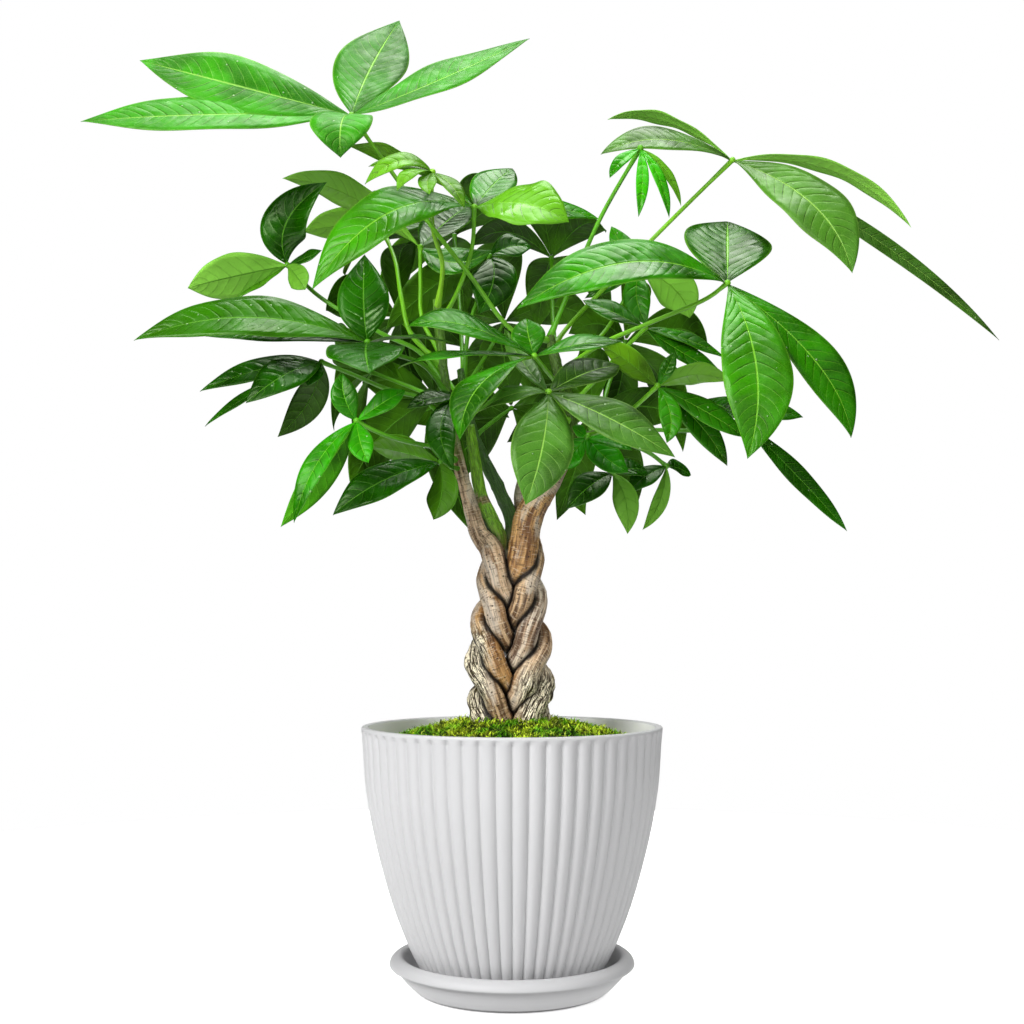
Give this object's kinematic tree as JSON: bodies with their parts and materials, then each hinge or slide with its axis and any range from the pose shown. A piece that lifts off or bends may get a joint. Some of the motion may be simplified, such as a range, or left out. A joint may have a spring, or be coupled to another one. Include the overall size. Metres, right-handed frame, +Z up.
{
  "type": "potted money tree",
  "caption": "House plant with braided woody stems and a spreading crown of palmate leaves, rooted in soil under moss in a ribbed white pot that stands on its saucer.",
  "frame": {"origin": "on the axis of the pot, at the flat underside of the saucer", "axes": "+Z up along the pot's axis, -Y toward the viewer of the picture, +X to the viewer's right"},
  "size_m": [0.5181, 0.3476, 0.564],
  "materials": {
    "saucer": "matte white, softly rounded",
    "pot": "matte white with upright ribs",
    "soil": "crumbly dark potting mix",
    "moss": "soft yellow-green fibres",
    "bark": "rough grey-brown bark, greener toward the tips",
    "leaf_mature": "satin green blade with pale veins",
    "leaf_deep": "glossy deep green blade with pale veins",
    "leaf_fresh": "matte mid-green blade",
    "leaf_young": "soft lime-green young blade"
  },
  "bodies": {
    "root": {"saucer": "saucer", "pot": "pot", "soil": "soil", "moss": "moss", "stem_1": "bark", "stem_2": "bark", "stem_3": "bark", "stem_4": "bark", "stem_5": "bark", "leaf_01": "leaf_fresh", "leaf_02": "leaf_young", "leaf_03": "leaf_mature", "leaf_04": "leaf_mature", "leaf_05": "leaf_mature", "leaf_06": "leaf_deep", "leaf_07": "leaf_deep", "leaf_08": "leaf_deep", "leaf_09": "leaf_fresh", "leaf_10": "leaf_deep", "leaf_11": "leaf_deep", "leaf_12": "leaf_mature", "leaf_13": "leaf_mature", "leaf_14": "leaf_mature", "leaf_15": "leaf_mature", "leaf_16": "leaf_fresh", "leaf_17": "leaf_mature", "leaf_18": "leaf_mature", "leaf_19": "leaf_mature", "leaf_20": "leaf_deep", "leaf_21": "leaf_fresh", "leaf_22": "leaf_deep", "leaf_23": "leaf_deep", "leaf_24": "leaf_deep", "leaf_25": "leaf_deep", "leaf_26": "leaf_deep", "leaf_27": "leaf_deep", "leaf_28": "leaf_deep", "leaf_29": "leaf_deep", "leaf_30": "leaf_deep", "leaf_31": "leaf_deep", "leaf_32": "leaf_deep", "leaf_33": "leaf_deep"}
  },
  "joints": []
}
